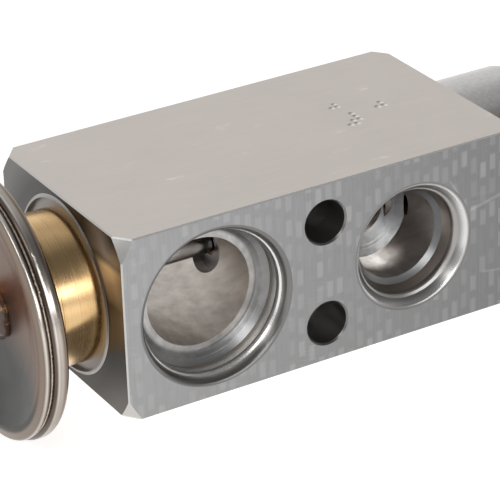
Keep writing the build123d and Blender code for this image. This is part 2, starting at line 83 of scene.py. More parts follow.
# depths below the port face, where a pair says from and to
SUCTION_LIP_BAND = (1.2, 3.2)
SUCTION_LIP_EDGE = (0.05, 1.0)
SMALL_LIP_BAND = (0.16, 0.75)
ROLLED_BAND = (1.45, 2.05)
LIP_EDGE_DEPTH = 0.08
SMALL_TAPER_DEPTH = 1.7
HOLE_MOUTH_DEPTH = 0.45
SEAT_DEPTH = 2.0
DEEP_WALL_DEPTH = 4.5
SWEEP_DEPTH = 7.8

# scratches on the front face: x and z of both ends, and the width
SCRATCHES = [
    (24.6, 3.1, 31.5, 4.6, 0.42),
    (26.6, -7.5, 31.0, -8.2, 0.25),
    (21.0, 8.7, 22.6, 6.2, 0.2),
]

# dot groups on the top: the range in x, the range in y, and the pitch
DOT_GROUPS = [
    (14.0, 15.9, 20.6, 22.5, 0.95),
    (13.1, 16.4, 14.0, 18.4, 1.1),
    (19.8, 22.0, 17.2, 20.5, 1.1),
]

# one aluminium throughout: besides the real differences of finish, these colours carry painted
# light and shade, with the top and the boss painted paler, the turned ends painted darker, and
# painted highlights and shade in the ports and on the lips, edges and pits
WIDE_FACE = (0.730, 0.675, 0.630, 1.0)
PORT_FACE_NEAR = (0.370, 0.370, 0.370, 1.0)
PORT_FACE_PAINTED_SHADE = (0.220, 0.220, 0.220, 1.0)
TURNED_END = (0.120, 0.113, 0.105, 1.0)
END_PAINTED_SHADE_NEAR_NECK = (0.045, 0.039, 0.034, 1.0)
END_CORNER_PAINTED_LIGHT = (0.42, 0.35, 0.29, 1.0)
END_PAINTED_REFLECTION = (0.95, 0.86, 0.74, 1.0)
SPOT_FACE = (0.40, 0.38, 0.36, 1.0)
END_BEVEL = (0.56, 0.55, 0.53, 1.0)
TURNED_BOSS = (0.60, 0.585, 0.57, 1.0)
BORE_WALL = (0.60, 0.555, 0.51, 1.0)
SMALL_BORE_PAINTED_SHADE = (0.46, 0.42, 0.39, 1.0)
BORE_PAINTED_HIGHLIGHT = (0.95, 0.90, 0.85, 1.0)
HOLE_WALL_PAINTED_SHADE = (0.28, 0.27, 0.26, 1.0)
CONE_PAINTED_SHADE = (0.36, 0.36, 0.36, 1.0)
CONE_PAINTED_DEEP_SHADE = (0.13, 0.13, 0.135, 1.0)
SUCTION_LEDGE = (0.44, 0.43, 0.42, 1.0)
SUCTION_LEDGE_PAINTED_SHADE = (0.22, 0.215, 0.21, 1.0)
SUCTION_CONE_PAINTED_SHADE = (0.235, 0.23, 0.225, 1.0)
SMALL_LEDGE_PAINTED_LIGHT = (0.82, 0.80, 0.78, 1.0)
LIP_TAPER = (0.36, 0.355, 0.345, 1.0)
PAINTED_HIGHLIGHT_PALE = (0.82, 0.81, 0.80, 1.0)
RIDGE = (0.36, 0.35, 0.34, 1.0)
LIP_PAINTED_SHADE = (0.20, 0.195, 0.19, 1.0)
DOT_PAINTED_SHADE = (0.16, 0.145, 0.13, 1.0)
DOT_PAINTED_HIGHLIGHT = (1.0, 0.97, 0.94, 1.0)


class Channel:
    """A node's output in a finish. Arithmetic on it adds Math nodes to the finish."""

    def __init__(self, tree, socket):
        self.tree = tree
        self.socket = socket

    def node(self, kind, settings=None, sockets=None, out=0):
        """Adds a node: its settings are set first, then its sockets get values or links."""
        made = self.tree.nodes.new(kind)
        for name, value in (settings or {}).items():
            setattr(made, name, value)
        for name, value in (sockets or {}).items():
            if isinstance(value, Channel):
                self.tree.links.new(value.socket, made.inputs[name])
            else:
                made.inputs[name].default_value = value
        return Channel(self.tree, made.outputs[out])

    def also(self, name):
        """Another output of the same node."""
        return Channel(self.tree, self.socket.node.outputs[name])

    def math(self, operation, first, second=0.0, clamp=False):
        """A Math node on two numbers or channels, held between 0 and 1 if clamped."""
        settings = {"operation": operation, "use_clamp": clamp}
        return self.node("ShaderNodeMath", settings, {0: first, 1: second})

    def __add__(self, other):
        return self.math("ADD", self, other)

    def __radd__(self, other):
        return self.math("ADD", other, self)

    def __sub__(self, other):
        return self.math("SUBTRACT", self, other)

    def __rsub__(self, other):
        return self.math("SUBTRACT", other, self)

    def __mul__(self, other):
        return self.math("MULTIPLY", self, other)

    def __rmul__(self, other):
        return self.math("MULTIPLY", other, self)

    def __truediv__(self, other):
        return self.math("DIVIDE", self, other)

    def __pow__(self, other):
        return self.math("POWER", self, other)

    def __abs__(self):
        return self.math("ABSOLUTE", self)

    def above(self, edge, width):
        """0 below the edge and 1 above it, with a soft step of that width."""
        return self.math("ADD", (self - edge) / width, 0.5, clamp=True)

    def below(self, edge, width):
        """1 below the edge and 0 above it, with a soft step of that width."""
        return self.math("SUBTRACT", 0.5, (self - edge) / width, clamp=True)

    def within(self, low, high, rise, fall):
        """1 between two edges and 0 outside them, with soft steps of those widths."""
        return self.above(low, rise) * self.below(high, fall)

    def blend(self, low, high):
        """A colour between two, by this channel."""
        settings = {"data_type": "RGBA"}
        return self.node("ShaderNodeMix", settings, {0: self, 6: low, 7: high}, out=2)

    def feed(self, shader, name):
        """Leads this channel into a socket of the shader."""
        self.tree.links.new(self.socket, shader.inputs[name])


def new_finish(name, metallic, **uniform):
    """A material, its shader, and the place on the piece in millimetres."""
    material = bpy.data.materials.new(name)
    material.use_nodes = True
    tree = material.node_tree
    shader = tree.nodes["Principled BSDF"]
    shader.inputs["Metallic"].default_value = metallic
    for socket, value in uniform.items():
        shader.inputs[socket.replace("_", " ")].default_value = value
    coordinates = tree.nodes.new("ShaderNodeTexCoord")
    raw = Channel(tree, coordinates.outputs["Object"])
    settings = {"operation": "SCALE"}
    place = raw.node("ShaderNodeVectorMath", settings, {0: raw, "Scale": 1000.0})
    return material, shader, place


def split(place):
    """The three parts of a vector channel."""
    x = place.node("ShaderNodeSeparateXYZ", None, {0: place}, out="X")
    return x, x.also("Y"), x.also("Z")


def grain(place, scale, stretch=(1.0, 1.0, 1.0), detail=3.0):
    """Soft noise from 0 to 1, with its cells stretched along the axes, per millimetre."""
    sockets = {"Vector": place, "Scale": tuple(scale * s for s in stretch)}
    moved = place.node("ShaderNodeMapping", None, sockets)
    sockets = {"Vector": moved, "Scale": 1.0, "Detail": detail, "Roughness": 0.55}
    return moved.node("ShaderNodeTexNoise", None, sockets, out="Fac")


def rings(along, scale, detail=4.0):
    """Noise on one number alone, which draws the fine lines that a turning tool leaves."""
    sockets = {"W": along * scale, "Scale": 1.0, "Detail": detail, "Roughness": 0.6}
    return along.node("ShaderNodeTexNoise", {"noise_dimensions": "1D"}, sockets, out="Fac")


def from_centre(u, v, u_centre, v_centre):
    """Distance in a plane from a centre: the root of the two squares."""
    du = u - u_centre
    dv = v - v_centre
    return (du * du + dv * dv) ** 0.5


def relief(height, depth, normal=None):
    """A bump whose full height is that depth in millimetres."""
    sockets = {"Height": height, "Distance": depth / 1000.0, "Strength": 1.0}
    if normal:
        sockets["Normal"] = normal
    return height.node("ShaderNodeBump", None, sockets, out="Normal")


def normal_of(place):
    """The direction that the surface faces."""
    return place.node("ShaderNodeNewGeometry", None, None, out="Normal")


def leant(facing, lean_x, lean_y=0.0):
    """The surface's normal plus a lean along x and y, scaled back to a length of one."""
    lean = facing.node("ShaderNodeCombineXYZ", None, {"X": lean_x, "Y": lean_y})
    added = facing.node("ShaderNodeVectorMath", {"operation": "ADD"}, {0: facing, 1: lean})
    return facing.node("ShaderNodeVectorMath", {"operation": "NORMALIZE"}, {0: added})


def dress(name, material):
    """Gives a solid piece its finish."""
    for slot in nodes[name].material_slots:
        slot.material = material


aluminium, aluminium_shader, place = new_finish("milled_aluminium", 1.0)
x, y, z = split(place)
facing = normal_of(place)
nx, ny, nz = split(facing)

wide_face = abs(nz).above(0.9, 0.05) * abs(z).above(BLOCK_HALF_HEIGHT - 0.1, 0.05)
port_face = abs(ny).above(0.9, 0.05) * abs(y - AXIS_Y).above(BLOCK_WIDTH / 2 - 0.01, 0.01)
axis_r = from_centre(y, z, AXIS_Y, 0.0)
suction_r = from_centre(x, z, SUCTION_X, 0.0)
outlet_r = from_centre(x, z, OUTLET_X, 0.0)
inlet_r = from_centre(x, z, INLET_X, 0.0)
below_face = BLOCK_WIDTH / 2 - abs(y - AXIS_Y)
in_front = y.below(AXIS_Y, 0.1)
hole_r = from_centre(x, abs(z), 0.0, HOLE_Z)
bored = suction_r.below(SUCTION_MOUTH_R, 0.04) + outlet_r.below(OUTLET_MOUTH_R, 0.04) * in_front
bored = bored + inlet_r.below(INLET_MOUTH_R, 0.04) * (1 - in_front)
bored = bored + hole_r.below(HOLE_MOUTH_R, 0.04)
bored = bored.math("MULTIPLY", bored, (1 - port_face) * (1 - wide_face), clamp=True)
turned_part = (1 - wide_face) * (1 - port_face) * (1 - bored)
end_bevel = turned_part * x.below(HEAD_BEVEL_END, 0.2) * abs(nx).within(0.5, 0.9, 0.1, 0.1)
ridge = turned_part * x.below(HEAD_END - 0.03, 0.03) * abs(axis_r - RIDGE_R).below(0.27, 0.05)
edge_break = abs(ny).above(0.4, 0.1) * abs(nz).above(0.4, 0.1) * (1 - bored)
edge_break = edge_break * abs(z).above(BLOCK_HALF_HEIGHT - 0.25, 0.02)


def bricks(pitch, height):
    """Upright dashes on the port faces, laid like bricks. Each column starts at its own random
    height, a brick fills part of its cell, and its strength is a random number from 0 to 1."""
    across = x / pitch
    column = across.math("FLOOR", across)
    shift = column.node("ShaderNodeTexWhiteNoise", {"noise_dimensions": "1D"}, {"W": column})
    level = z / height + shift * 7.0
    row = level.math("FLOOR", level)
    corner = column.node("ShaderNodeCombineXYZ", None, {"X": column, "Y": row, "Z": in_front})
    strength = corner.node("ShaderNodeTexWhiteNoise", None, {"Vector": corner}, out="Value")
    inside = abs(across - column - 0.32).below(0.29, 0.18)
    return inside * (level - row).within(0.06, 0.70, 0.10, 0.10) * strength


# the port faces: short pale dashes that the cutter leaves, in columns side by side
dash = bricks(DASH_PITCH, DASH_HEIGHT) * (0.40 + x.above(0.0, 60.0) * 0.70)
upright = grain(place, 1.0, (3.4, 1.0, 0.16), 2.0)
# painted shade: the port faces grow darker from the head end towards the boss
towards_boss_shade = (x - FACE_FADE_START) / FACE_FADE_LENGTH

# the wide faces: satin skin with faint streaks along the bar and a few pale scuffs
streak = grain(place, 1.0, (0.10, 1.7, 1.0), 4.0)
cloud = grain(place, 0.09, (1.0, 1.0, 1.0), 2.0)
scuff = grain(place, 1.0, (0.16, 0.55, 1.0), 3.0).above(0.69, 0.07)

# the turned and bored faces: lines round the tool's axis, a painted highlight in a band at the
# end of each lip, and painted shade on the lips' outer edges and on the cones
port_r = in_front * outlet_r + (1 - in_front) * inlet_r
near_suction = x.below(BETWEEN_PORTS_X, 0.1)
port_r = near_suction * suction_r + (1 - near_suction) * port_r
tool_line = rings(port_r * 1.3 + y, 4.5)
lathe_line = rings(axis_r * 1.1 + x, 4.0)
port = bored * hole_r.above(HOLE_MOUTH_R + 0.08, 0.04)
# painted highlight: a pale band at the end of each lip
lip_highlight_band = near_suction * below_face.within(*SUCTION_LIP_BAND, 0.4, 0.7)
lip_round = (1 - near_suction) * below_face.within(*SMALL_LIP_BAND, 0.12, 0.5)
lip_highlight_band = (lip_highlight_band + lip_round * 0.75) * port
lip_highlight_band = lip_highlight_band * (1 - near_suction * suction_r.below(SUCTION_SEAT_R - 0.55, 0.1))
rolled = port * below_face.within(*ROLLED_BAND, 0.35, 0.5)
lip_taper = port * (1 - near_suction) * below_face.below(SMALL_TAPER_DEPTH, 0.3)
# painted shade along the outer edge of each lip and in the mouths of the holes
lip_edge_shade = near_suction * below_face.within(*SUCTION_LIP_EDGE, 0.04, 0.5)
lip_edge_shade = port * (lip_edge_shade + below_face.below(LIP_EDGE_DEPTH, 0.06))
deep = bored * below_face.above(DEEP_WALL_DEPTH, 0.6)
ledge = port * abs(ny).above(0.93, 0.04) * below_face.above(SEAT_DEPTH, 0.2)
cone = port * abs(ny).above(0.45, 0.1) * (1 - ledge) * below_face.above(SEAT_DEPTH, 0.2)

# the small port's bore runs out into its floor in a wide sweep on the lower side, so the normal
# there leans towards the mouth, and a painted highlight pales the wall there
sweep_with_highlight = deep * (1 - near_suction) * in_front * z.below(-3.2, 4.5) * (1 - cone)
sweep_with_highlight = sweep_with_highlight * below_face.above(SWEEP_DEPTH, 3.5) * x.below(OUTLET_X + 2.75, 5.0)
swept = leant(facing, sweep_with_highlight * -0.2, sweep_with_highlight * -1.7)

# the deep walls: streaks askew to the axis, from the swarf that the drill dragged along
settings = {"vector_type": "TEXTURE"}
sockets = {"Vector": place, "Rotation": (-0.70, 0.0, 0.0), "Scale": (1.3, 11.0, 1.4)}
twisted = place.node("ShaderNodeMapping", settings, sockets)
sockets = {"Vector": twisted, "Scale": 1.0, "Detail": 3.0, "Roughness": 0.55}
swarf = twisted.node("ShaderNodeTexNoise", None, sockets, out="Fac")

# long thin scratches here and there, and three single ones on the front face
sockets = {"Vector": place, "Rotation": (0.0, 0.16, 0.0), "Scale": (20.0, 1.0, 0.7)}
askew = place.node("ShaderNodeMapping", settings, sockets)
sockets = {"Vector": askew, "Scale": 1.0, "Detail": 2.0}
scratch = askew.node("ShaderNodeTexNoise", None, sockets, out="Fac")
scratch = (1 - abs(scratch - 0.5) * 40.0).above(0.5, 1.0)
scratch = scratch * grain(place, 0.12).above(0.58, 0.05) * 0.3


def drawn_line(start_x, start_z, end_x, end_z, width):
    """A pale scratch on the front face, from one point to another: the place along the
    line and across it come from the two products with the line's direction."""
    length = math.hypot(end_x - start_x, end_z - start_z)
    run_x, run_z = (end_x - start_x) / length, (end_z - start_z) / length
    along = (x - start_x) * run_x + (z - start_z) * run_z
    across = abs((z - start_z) * run_x - (x - start_x) * run_z)
    return along.within(0.0, length, 0.6, 0.6) * across.below(width / 2, 0.3) * in_front


for line in SCRATCHES:
    scratch = scratch + drawn_line(*line)

# the end face beside the neck: painted shade darkens it near the neck, its upper corner is
# painted paler and duller, and a painted reflection of the neck lies just under that corner
near_corner = x.below(0.0, 1.0) * y.below(8.0, 6.0) * axis_r.below(19.0, 4.0)
dull_painted_light_corner = near_corner * z.above(9.5, 2.0)
painted_reflection_patch = near_corner * z.within(6.0, 9.0, 6.0, 1.0)

# the turned boss, the face round the power head, the mounting holes and the seats
boss = turned_part * x.above(FAR_END, 0.2)
spot_face = turned_part * axis_r.below(SPOT_FACE_R, 0.04)
spot_face = spot_face * x.within(HEAD_END + 0.02, HEAD_END + 1.4, 0.04, 0.1)
hole = bored * (1 - port)
# painted shade on the cones: darker towards their upper side and towards the far end
shadowed = (z + (x - OUTLET_X) * 0.5).above(-1.5, 7.0)
# painted shade: the suction ledge darker at its outer edge, in the crease by the cone
seat_tone = suction_r.below(SUCTION_LEDGE_R, 0.4).blend(SUCTION_LEDGE_PAINTED_SHADE, SUCTION_LEDGE)

# the plain colours, each laid over those before it
layers = [
    (dull_painted_light_corner, END_CORNER_PAINTED_LIGHT),
    (painted_reflection_patch, END_PAINTED_REFLECTION),
    (axis_r.below(BOSS_R + 0.8, 0.4) * x.above(FAR_END, 0.2), TURNED_BOSS),
    (port_face, towards_boss_shade.blend(PORT_FACE_NEAR, PORT_FACE_PAINTED_SHADE)),
    (wide_face, WIDE_FACE),
    (spot_face, SPOT_FACE),
    (bored, BORE_WALL),
    # painted shade: the small port's walls and the mounting holes are darker than the big bore
    (port * (1 - near_suction), SMALL_BORE_PAINTED_SHADE),
    (sweep_with_highlight, BORE_PAINTED_HIGHLIGHT),
    (hole, HOLE_WALL_PAINTED_SHADE),
    (cone, shadowed.blend(CONE_PAINTED_SHADE, CONE_PAINTED_DEEP_SHADE)),
    # painted shade: the suction cone darker on its upper side
    (cone * near_suction * z.above(-5.0, 7.0), SUCTION_CONE_PAINTED_SHADE),
    (hole * below_face.below(HOLE_MOUTH_DEPTH, 0.1), LIP_PAINTED_SHADE),
    (ledge * near_suction, seat_tone),
    # painted light: the small port's ledge paler than the suction's
    (ledge * (1 - near_suction), SMALL_LEDGE_PAINTED_LIGHT),
    (lip_taper, LIP_TAPER),
    (lip_highlight_band, PAINTED_HIGHLIGHT_PALE),
    (lip_edge_shade, LIP_PAINTED_SHADE),
    (end_bevel, END_BEVEL),
    (ridge, RIDGE),
    # painted highlight along the broken edges
    (edge_break, PAINTED_HIGHLIGHT_PALE),
]
# the turned end, with painted shade near the neck
plain = axis_r.below(17.0, 4.0).blend(TURNED_END, END_PAINTED_SHADE_NEAR_NECK)
for mask, colour in layers:
    plain = mask.blend(plain, colour)

# how much paler or darker each spot is than its plain colour
tone = 1.0 + port_face * (dash * 0.29 - 0.06 + (upright - 0.5) * 0.24)
tone = tone + wide_face * ((streak - 0.5) * 0.10 + (cloud - 0.5) * 0.08 + scuff * 0.10)
tone = tone + bored * (tool_line - 0.5) * 0.16 + turned_part * (lathe_line - 0.5) * 0.14
tone = tone + boss * (grain(place, 1.5, detail=4.0) - 0.5) * 0.45
tone = tone + port_face * scratch * 0.28 + deep * (swarf - 0.5) * 0.9

# dot-peened marks on the top: plain dots in three groups, each a small pit, with painted shade in
# the pit and a painted highlight on its lit side
on_top = z.above(BLOCK_HALF_HEIGHT - 0.1, 0.05)


def dot_group(low_x, high_x, low_y, high_y, pitch, aside):
    """Round pits on a grid inside a rectangle, with some left out by a random number.
    Each spot can be moved aside by a part of the pitch, for a painted highlight on the lit side
    of the pit."""
    inside = x.within(low_x, high_x, 0.02, 0.02) * y.within(low_y, high_y, 0.02, 0.02)
    column = (x - low_x) / pitch
    row = (y - low_y) / pitch
    across = column.math("FRACT", column) - 0.42 - aside
    up = row.math("FRACT", row) - 0.58 + aside
    sockets = {"X": column.math("FLOOR", column), "Y": row.math("FLOOR", row)}
    corner = column.node("ShaderNodeCombineXYZ", None, sockets)
    kept = corner.node("ShaderNodeTexWhiteNoise", None, {"Vector": corner}, out="Value")
    round_pit = ((across * across + up * up) ** 0.5).below(0.30, 0.30)
    return round_pit * kept.above(0.45, 0.02) * inside


def marks(aside):
    """The three groups of pits together."""
    first, second, third = (dot_group(*group, aside) for group in DOT_GROUPS)
    return (first + second + third) * on_top


dots = marks(0.0)
pit_highlight = marks(0.24)

settings = {"data_type": "RGBA", "blend_type": "MULTIPLY"}
grey = tone.node("ShaderNodeCombineColor", None, {0: tone, 1: tone, 2: tone})
coloured = tone.node("ShaderNodeMix", settings, {0: 1.0, 6: plain, 7: grey}, out=2)
coloured = (dots * 0.50).blend(coloured, DOT_PAINTED_SHADE)
coloured = (pit_highlight * 0.8).blend(coloured, DOT_PAINTED_HIGHLIGHT)
coloured.feed(aluminium_shader, "Base Color")

roughness = 0.30 + port_face * (0.12 - dash * 0.08) + wide_face * 0.16 + edge_break * 0.2
roughness = roughness + deep * 0.04 - wide_face * scuff * 0.10 - port_face * scratch * 0.10
(roughness - lip_highlight_band * 0.06 + spot_face * 0.15).feed(aluminium_shader, "Roughness")
(1 - bored * 0.10 - dull_painted_light_corner * turned_part * 0.70).feed(aluminium_shader, "Metallic")
height = port_face * (dash * 0.15 + upright * 0.5) + wide_face * streak * 0.6
height = height + bored * tool_line + turned_part * lathe_line - dots * 14.0
height = height + deep * (tool_line * 2.0 + swarf * 3.0) + rolled * 16.0
relief(height, FACE_RELIEF, swept).feed(aluminium_shader, "Normal")
dress("valve_block", aluminium)

# Neck of the power head
# Turned from brass bar, bright from the tool, with two fine turned lines near the covers.
# Its threaded end screws into the block. The pad under the diaphragm, the guide bush, the
# ball's carrier and the adjusting screw are turned from the same bar.

NECK_START = -40.2
NECK_MIDDLE = -36.0
NECK_END = -33.0

BRASS = (0.83, 0.55, 0.27, 1.0)
BRASS_TARNISHED = (0.64, 0.41, 0.18, 1.0)
BRASS_TOOL_LINE = (0.88, 0.64, 0.37, 1.0)
BRASS_PAINTED_SHADE = (0.42, 0.26, 0.10, 1.0)

brass, brass_shader, place = new_finish("turned_brass", 1.0, Coat_Weight=0.1, Coat_Roughness=0.12)
x, y, z = split(place)

# the feed lines of the tool are cut askew: the neck's normal leans towards the covers on its
# upper side and towards the block on its lower side, with a band of painted shade between
facing = normal_of(place)
nz = split(facing)[2]
neck_part = x.within(NECK_START, NECK_END, 0.2, 0.7)
tilt = nz.below(-0.06, 0.14) * x.below(NECK_MIDDLE, 5.0) * 0.22
tilt = tilt - nz.above(0.02, 0.14) * (0.05 + x.above(NECK_MIDDLE, 5.0) * 0.15)
feed_cut = leant(facing, neck_part * tilt)
axis_r = from_centre(y, z, AXIS_Y, 0.0)
tool_line = rings(axis_r * 1.2 + x, 5.0)
wide_band = rings(x, 0.7, 2.0)
patch = grain(place, 0.25)
tarnish = (patch * 0.6 + wide_band * 0.4).above(0.56, 0.3)
colour = tarnish.blend(BRASS, BRASS_TARNISHED)
colour = tool_line.above(0.62, 0.3).blend(colour, BRASS_TOOL_LINE)
painted_shade_band = neck_part * nz.within(-0.12, 0.13, 0.10, 0.08) * 0.26
colour = painted_shade_band.blend(colour, BRASS_PAINTED_SHADE)
colour.feed(brass_shader, "Base Color")
(0.24 + tarnish * 0.08 + (tool_line - 0.5) * 0.05).feed(brass_shader, "Roughness")
relief(tool_line, 0.003, feed_cut).feed(brass_shader, "Normal")
for name in ("power_head_neck", "follower_pad", "guide_bush", "ball_carrier", "adjusting_screw"):
    dress(name, brass)

# Covers of the power head and the diaphragm between them
# Pressed from stainless sheet. The rims are rounded in the press, and the heat of the
# welding leaves a straw and brown tint beside the seam.

SEAM_X = -44.12
RIM_START_R = 17.9

COVER_FACE = (0.070, 0.070, 0.068, 1.0)
COVER_SMUDGED = (0.055, 0.055, 0.053, 1.0)
COVER_BROWN = (0.190, 0.128, 0.098, 1.0)
RIM_BROWN = (0.205, 0.160, 0.125, 1.0)
RIM_PAINTED_HIGHLIGHT = (0.880, 0.820, 0.760, 1.0)
SEAM_BURNT = (0.085, 0.062, 0.048, 1.0)

stainless, stainless_shader, place = new_finish("pressed_stainless", 1.0)
x, y, z = split(place)
axis_r = from_centre(y, z, AXIS_Y, 0.0)
press_line = rings(axis_r, 3.0, 3.0)
smudge = grain(place, 0.12)
brushed = grain(place, 0.8, (1.0, 0.35, 0.35), 4.0)
rim = axis_r.above(RIM_START_R, 0.5)
nx = split(normal_of(place))[0]
face = smudge.blend(COVER_FACE, COVER_SMUDGED)
# the face is browner towards the top and the front
tint = (z + (y - AXIS_Y) * -0.5 + (smudge - 0.5) * 8.0).above(1.0, 9.0)
face = tint.blend(face, COVER_BROWN)

# the rims carry a painted highlight in a band set by the way they face, fainter towards the
# bottom, and are brown elsewhere
rim_highlight = abs(nx + 0.30).below(0.34, 0.5) * (1.0 + (smudge - 0.5) * 0.8)
rim_highlight = rim_highlight * (1 - z.below(2.0, 26.0) * 0.55)
colour = rim.blend(face, rim_highlight.blend(RIM_BROWN, RIM_PAINTED_HIGHLIGHT))
near_seam = axis_r.above(18.6, 0.5) * abs(x - SEAM_X).below(0.62, 0.25)
colour = (near_seam * (0.75 + smudge * 0.3)).blend(colour, SEAM_BURNT)
colour.feed(stainless_shader, "Base Color")
dull = 0.43 + (smudge - 0.5) * 0.10 + (press_line - 0.5) * 0.06 - rim * 0.20
dull.feed(stainless_shader, "Roughness")
relief(press_line * 0.6 + brushed * 0.4, 0.006).feed(stainless_shader, "Normal")
for name in ("head_lower_cover", "head_upper_cover", "diaphragm"):
    dress(name, stainless)

# Weld between the covers
# One run of weld all round in the groove between the two rims, dull and dark, with ripples
# and small drops of spatter stuck in the groove.

WELD_R = 18.80
BEAD_R = 0.19
BEAD_STEPS = 720
BEAD_SECTION_STEPS = 12
BEAD_RIPPLES = 150
DROPS = 110
CLUSTERED_DROPS = 34
DROP_RINGS = 7
DROP_STEPS = 10

SCALE_DARK = (0.30, 0.235, 0.175, 1.0)
SCALE_PALE = (0.78, 0.70, 0.60, 1.0)


def mesh_piece(name, points, faces, body, slot_name, material):
    """A piece from points in millimetres and their faces, with its finish. It rides on its
    body, if one is given."""
    mesh = bpy.data.meshes.new(name)
    mesh.from_pydata((points / 1000.0).tolist(), [], faces)
    mesh.polygons.foreach_set("use_smooth", np.ones(len(mesh.polygons), bool))
    mesh.materials.append(material)
    mesh.update()
    piece = bpy.data.objects.new(name, mesh)
    bpy.context.scene.collection.objects.link(piece)
    if body:
        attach(piece, body)
    return piece


def grid_faces(rows, columns, closed=True):
    """Quads of a grid of points that closes on itself along its rows, and also from the last
    row to the first if it is closed."""
    i, j = np.meshgrid(np.arange(rows if closed else rows - 1), np.arange(columns), indexing="ij")
    below, right = (i + 1) % rows, (j + 1) % columns
    corners = (i * columns + j, below * columns + j, below * columns + right, i * columns + right)
    return np.stack(corners, -1).reshape(-1, 4)


def waves(angle, seed, count):
    """A smooth random wave round a circle: cosines of whole turns with random phases."""
    random = np.random.default_rng(seed)
    turns = np.arange(2, 2 + count)
    phases = random.uniform(0, 2 * np.pi, count)
    strength = random.uniform(0.3, 1.0, count) / np.sqrt(turns)
    total = (strength * np.cos(angle[..., None] * turns + phases)).sum(-1)
    return total / np.abs(total).max()


def weld_bead():
    """A ring whose section's radius ripples: point = centre circle + radius(angle) * section."""
    around = np.linspace(0, 2 * np.pi, BEAD_STEPS, endpoint=False)
    section = np.linspace(0, 2 * np.pi, BEAD_SECTION_STEPS, endpoint=False)
    a, s = np.meshgrid(around, section, indexing="ij")
    ripple = 0.5 + 0.5 * np.cos(a * BEAD_RIPPLES + 2.0 * waves(a, 3, 9))
    radius = BEAD_R + 0.035 * ripple + 0.045 * waves(a, 5, 40)
    ring_r = WELD_R + 0.03 * waves(a, 8, 12) + radius * np.cos(s)
    points = np.stack(
        [
            SEAM_X + 0.85 * radius * np.sin(s),
            AXIS_Y + ring_r * np.cos(a),
            ring_r * np.sin(a),
        ],
        -1,
    )
    return points.reshape(-1, 3), grid_faces(BEAD_STEPS, BEAD_SECTION_STEPS).tolist()


def spatter():
    """Small drops in the groove, some of them in a cluster. Each is a squashed ball of a few
    dozen faces: point = centre + size * the direction from two angles."""
    random = np.random.default_rng(11)
    angle = random.uniform(0, 2 * np.pi, DROPS)
    cluster = random.uniform(np.radians(140), np.radians(158), CLUSTERED_DROPS)
    angle[:CLUSTERED_DROPS] = cluster
    size = random.uniform(0.07, 0.20, DROPS)
    size[:CLUSTERED_DROPS] *= 1.4
    ring_r = WELD_R + random.uniform(-0.02, 0.16, DROPS)
    u = np.linspace(0, 2 * np.pi, DROP_STEPS, endpoint=False)
    v = np.linspace(0.15, np.pi - 0.15, DROP_RINGS)
    vv, uu = np.meshgrid(v, u, indexing="ij")
    ball = np.stack([np.sin(vv) * np.cos(uu), np.sin(vv) * np.sin(uu), np.cos(vv)], -1)
    ball = ball.reshape(-1, 3)
    centre = np.stack(
        [
            SEAM_X + random.uniform(-0.12, 0.05, DROPS),
            AXIS_Y + ring_r * np.cos(angle),
            ring_r * np.sin(angle),
        ],
        -1,
    )
    points = centre[:, None, :] + size[:, None, None] * ball[None, :, :] * (0.8, 1.0, 1.0)
    quads = grid_faces(DROP_RINGS, DROP_STEPS, closed=False)
    first_points = DROP_RINGS * DROP_STEPS * np.arange(DROPS)
    faces = (quads[None] + first_points[:, None, None]).reshape(-1, 4)
    return points.reshape(-1, 3), faces.tolist()


scale_dark, weld_shader, place = new_finish("weld_scale", 1.0)
burnt = grain(place, 1.4)
burnt.blend(SCALE_DARK, SCALE_PALE).feed(weld_shader, "Base Color")
(0.30 + burnt * 0.3).feed(weld_shader, "Roughness")
relief(grain(place, 5.0), 0.02).feed(weld_shader, "Normal")
dress("head_rim_weld", scale_dark)
bead = mesh_piece("weld_bead", *weld_bead(), "valve_body", "weld_bead", scale_dark)
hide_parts("head_rim_weld")
mesh_piece("weld_spatter", *spatter(), "valve_body", "weld_bead", scale_dark)

# Charge tube
# Drawn copper tube on the axis of the power head, pinched flat once the charge is in. The
# heat of brazing leaves it brown and pink in patches.

COPPER = (0.80, 0.42, 0.28, 1.0)
COPPER_BURNT = (0.36, 0.17, 0.11, 1.0)

copper, copper_shader, place = new_finish("drawn_copper", 1.0)
x = split(place)[0]
patch = grain(place, 0.5)
drawn = grain(place, 1.0, (0.25, 3.0, 3.0), 3.0)
burnt = (x.above(-50.0, 7.0) * 0.7 + patch * 0.6).above(0.75, 0.5)
burnt.blend(COPPER, COPPER_BURNT).feed(copper_shader, "Base Color")
(0.28 + patch * 0.2 + burnt * 0.12).feed(copper_shader, "Roughness")
relief(drawn, 0.012).feed(copper_shader, "Normal")
dress("charge_tube", copper)

# Braze round the tube, and the solder on its end
# Brass-coloured filler that ran round the root of the tube and froze in lumps, heavier on
# the lower side, with dark glassy flux left on it.

BRAZE_X = -43.2
BRAZE_DROP = 0.9
BRAZE_INNER_R = 2.98
BRAZE_R = 4.25
BRAZE_HEIGHT = 1.75
BRAZE_STEPS = 144
BRAZE_ROWS = 22

BRAZE_BRASS = (0.60, 0.36, 0.14, 1.0)
FLUX_BROWN = (0.080, 0.038, 0.024, 1.0)
BRAZE_COPPERY = (0.86, 0.36, 0.19, 1.0)


